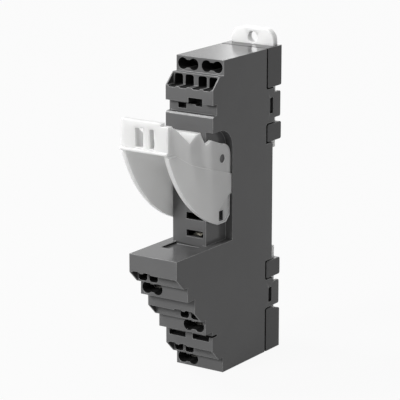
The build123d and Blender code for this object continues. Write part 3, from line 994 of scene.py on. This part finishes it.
@dataclass(frozen=True)
class Lamp:
    """A square studio lamp that points at the object."""

    name: str
    place: tuple[float, float, float]
    size: float
    power: float

    def build(self) -> None:
        """Puts the lamp in the scene."""
        data = bpy.data.lights.new(self.name, "AREA")
        data.size = self.size
        data.energy = self.power
        lamp = bpy.data.objects.new(self.name, data)
        lamp.location = self.place
        lamp.rotation_mode = "QUATERNION"
        lamp.rotation_quaternion = (-Vector(self.place)).to_track_quat("-Z", "Y")
        bpy.context.scene.collection.objects.link(lamp)


@dataclass(frozen=True)
class Studio:
    """The floor, the lamps, the world and the camera, whose view is the picture's.

    Attributes:
        floor_half: Half the width of the floor.
        floor_height: The height of the floor, at the foot of the socket.
        floor_colour: The colour that the floor throws back.
        floor_roughness: The roughness of the floor.
        floor_glow: The share of plain white in the floor as the camera sees it.
        sky_light: The strength of the even light from all around.
        camera_place: The place of the camera, fitted to the picture.
        camera_aim: The direction in which it looks, fitted the same way.
        sensor: The width of the camera's sensor in millimetres.
        lens: The focal length in millimetres.
        near_clip: The nearest distance that the camera sees.
        far_clip: The farthest distance that it sees.
        lamps: The studio lamps.
    """

    floor_half: float = 6.0
    floor_height: float = -45.0 * MM
    floor_colour: Colour = (0.4, 0.4, 0.4)
    floor_roughness: float = 0.9
    floor_glow: float = 0.93
    sky_light: float = 0.38
    camera_place: tuple[float, float, float] = (0.315563, -0.490375, 0.147903)
    camera_aim: tuple[float, float, float] = (-0.544192, 0.801651, -0.247407)
    sensor: float = 36.0
    lens: float = 185.99
    near_clip: float = 0.01
    far_clip: float = 50.0
    lamps: tuple[Lamp, ...] = (
        Lamp("key lamp", (-0.70, -0.30, 1.01), 0.35, 8.0),
        Lamp("front lamp", (-0.30, -1.12, 0.62), 0.35, 11.0),
        Lamp("rear lamp", (-0.35, 1.20, 0.35), 0.8, 3.0),
    )

    def build(self) -> None:
        """Builds the studio."""
        self.camera()
        self.floor()
        self.world()
        for lamp in self.lamps:
            lamp.build()
        bpy.context.scene.view_settings.view_transform = "Standard"

    def camera(self) -> None:
        """Sets the camera at the picture's angle."""
        data = bpy.data.cameras.new("camera")
        data.sensor_width = self.sensor
        data.lens = self.lens
        data.clip_start = self.near_clip
        data.clip_end = self.far_clip
        camera = bpy.data.objects.new("camera", data)
        camera.location = self.camera_place
        camera.rotation_mode = "QUATERNION"
        camera.rotation_quaternion = Vector(self.camera_aim).to_track_quat("-Z", "Y")
        bpy.context.scene.collection.objects.link(camera)
        bpy.context.scene.camera = camera

    def floor(self) -> None:
        """Lays the pale floor."""
        mesh = bmesh.new()
        place = Matrix.Translation((0.0, 0.0, self.floor_height))
        bmesh.ops.create_grid(
            mesh, x_segments=1, y_segments=1, size=self.floor_half, matrix=place)
        data = bpy.data.meshes.new("floor")
        mesh.to_mesh(data)
        mesh.free()
        floor = bpy.data.objects.new("floor", data)
        bpy.context.scene.collection.objects.link(floor)
        data.materials.append(self.floor_material())

    def floor_material(self) -> bpy.types.Material:
        """Builds the floor's white, which keeps a soft shadow.

        Returns:
            The new material.
        """
        material = bpy.data.materials.new("pale floor")
        material.use_nodes = True
        tree = material.node_tree
        shader = tree.nodes["Principled BSDF"]
        shader.inputs["Base Color"].default_value = socket_colour(self.floor_colour)
        shader.inputs["Roughness"].default_value = self.floor_roughness
        glow = add_node(tree, "ShaderNodeEmission")
        share = add_node(tree, "ShaderNodeMath", operation="MULTIPLY")
        share.inputs[1].default_value = self.floor_glow
        mix = add_node(tree, "ShaderNodeMixShader")
        tree.links.new(self.seen_rays(tree), share.inputs[0])
        tree.links.new(share.outputs["Value"], mix.inputs["Fac"])
        tree.links.new(shader.outputs["BSDF"], mix.inputs[1])
        tree.links.new(glow.outputs["Emission"], mix.inputs[2])
        tree.links.new(mix.outputs["Shader"], tree.nodes["Material Output"].inputs["Surface"])
        return material

    def seen_rays(self, tree: bpy.types.NodeTree) -> bpy.types.NodeSocket:
        """Adds up the rays that show the background.

        Args:
            tree: The node tree to add to.

        Returns:
            A socket that is 1 for camera, glossy and transmission rays.
        """
        path = add_node(tree, "ShaderNodeLightPath")
        first = add_node(tree, "ShaderNodeMath", operation="MAXIMUM")
        second = add_node(tree, "ShaderNodeMath", operation="MAXIMUM")
        tree.links.new(path.outputs["Is Camera Ray"], first.inputs[0])
        tree.links.new(path.outputs["Is Glossy Ray"], first.inputs[1])
        tree.links.new(first.outputs["Value"], second.inputs[0])
        tree.links.new(path.outputs["Is Transmission Ray"], second.inputs[1])
        return second.outputs["Value"]

    def world(self) -> None:
        """Lights the scene evenly and shows white behind it."""
        world = bpy.data.worlds.new("studio world")
        world.use_nodes = True
        tree = world.node_tree
        background = tree.nodes["Background"]
        background.inputs["Color"].default_value = socket_colour(WHITE)
        strength = add_node(tree, "ShaderNodeMapRange")
        strength.inputs["To Min"].default_value = self.sky_light
        strength.inputs["To Max"].default_value = 1.0
        tree.links.new(self.seen_rays(tree), strength.inputs["Value"])
        tree.links.new(strength.outputs["Result"], background.inputs["Strength"])
        bpy.context.scene.world = world


def main() -> None:
    """Builds the studio and every sub-assembly."""
    logging.basicConfig(level=logging.INFO, format="%(name)s: %(message)s")
    effects = Effects()
    Studio().build()
    moulded = (
        Housing(),
        RailBase(),
        ReleaseLever(),
        RailHook("upper_rail_hook", "upper_hook", Body.UPPER_HOOK),
        RailHook("lower_rail_hook", "lower_hook", Body.LOWER_HOOK),
    )
    pieces = [part.build(effects) for part in moulded]
    pieces += ClampMetal().build(effects)
    for piece in pieces:
        log.info("%s: %d faces", piece.name, len(piece.data.polygons))


if __name__ == "__main__":
    main()
